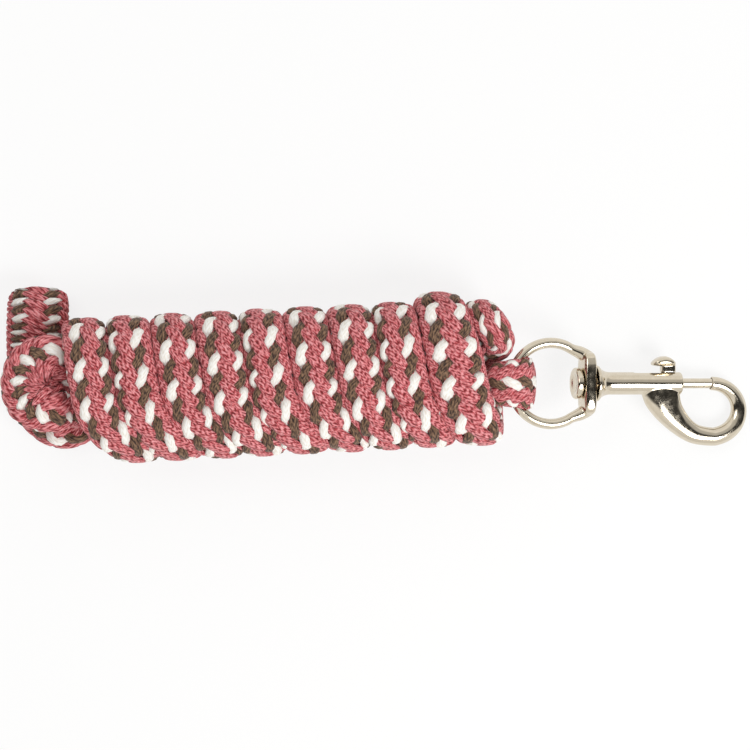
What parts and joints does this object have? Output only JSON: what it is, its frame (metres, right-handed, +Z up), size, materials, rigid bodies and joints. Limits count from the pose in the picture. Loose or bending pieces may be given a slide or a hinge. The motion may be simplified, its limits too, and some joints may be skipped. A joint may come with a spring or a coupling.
{
  "type": "lead rope",
  "caption": "Braided lead rope wound into a hank, its end looped through the swivel eye of a metal bolt snap with a sprung thumb bolt.",
  "frame": {"origin": "middle of the part's box, on the surface that it lies on", "axes": "+X along the hank towards the snap, +Z up from the surface, +Y across the hank towards the thumb tab's side"},
  "size_m": [0.3108, 0.0738, 0.046],
  "materials": {
    "rope_pink": "matt braided yarn",
    "rope_white": "matt braided yarn",
    "rope_brown": "matt braided yarn",
    "nickel": "polished nickel plate",
    "spring_steel": "drawn wire"
  },
  "bodies": {
    "rope": {"rope_eye": "rope_pink", "rope_hank": "rope_pink", "rope_tail": "rope_pink"},
    "eye": {"swivel_eye": "nickel"},
    "snap": {"snap_body": "nickel", "swivel_rivet": "nickel", "bolt_spring": "spring_steel"},
    "bolt": {"bolt": "nickel", "thumb_tab": "nickel"}
  },
  "joints": [
    {"name": "eye_swing", "type": "hinge", "parent": "rope", "child": "eye", "pos_m": [0.0568, -0.0035, 0.02732], "axis": [0, 1, 0], "range_deg": [-70, 60]},
    {"name": "swivel", "type": "hinge", "parent": "eye", "child": "snap", "pos_m": [0.0568, -0.0035, 0.02732], "axis": [0.9703, 0, -0.2419], "continuous": true},
    {"name": "bolt_slide", "type": "slide", "parent": "snap", "child": "bolt", "axis": [-0.9703, 0, 0.2419], "range_m": [0, 0.012], "stiffness_N_per_m": 400, "springref_m": -0.01, "deforming": ["bolt_spring"]}
  ]
}
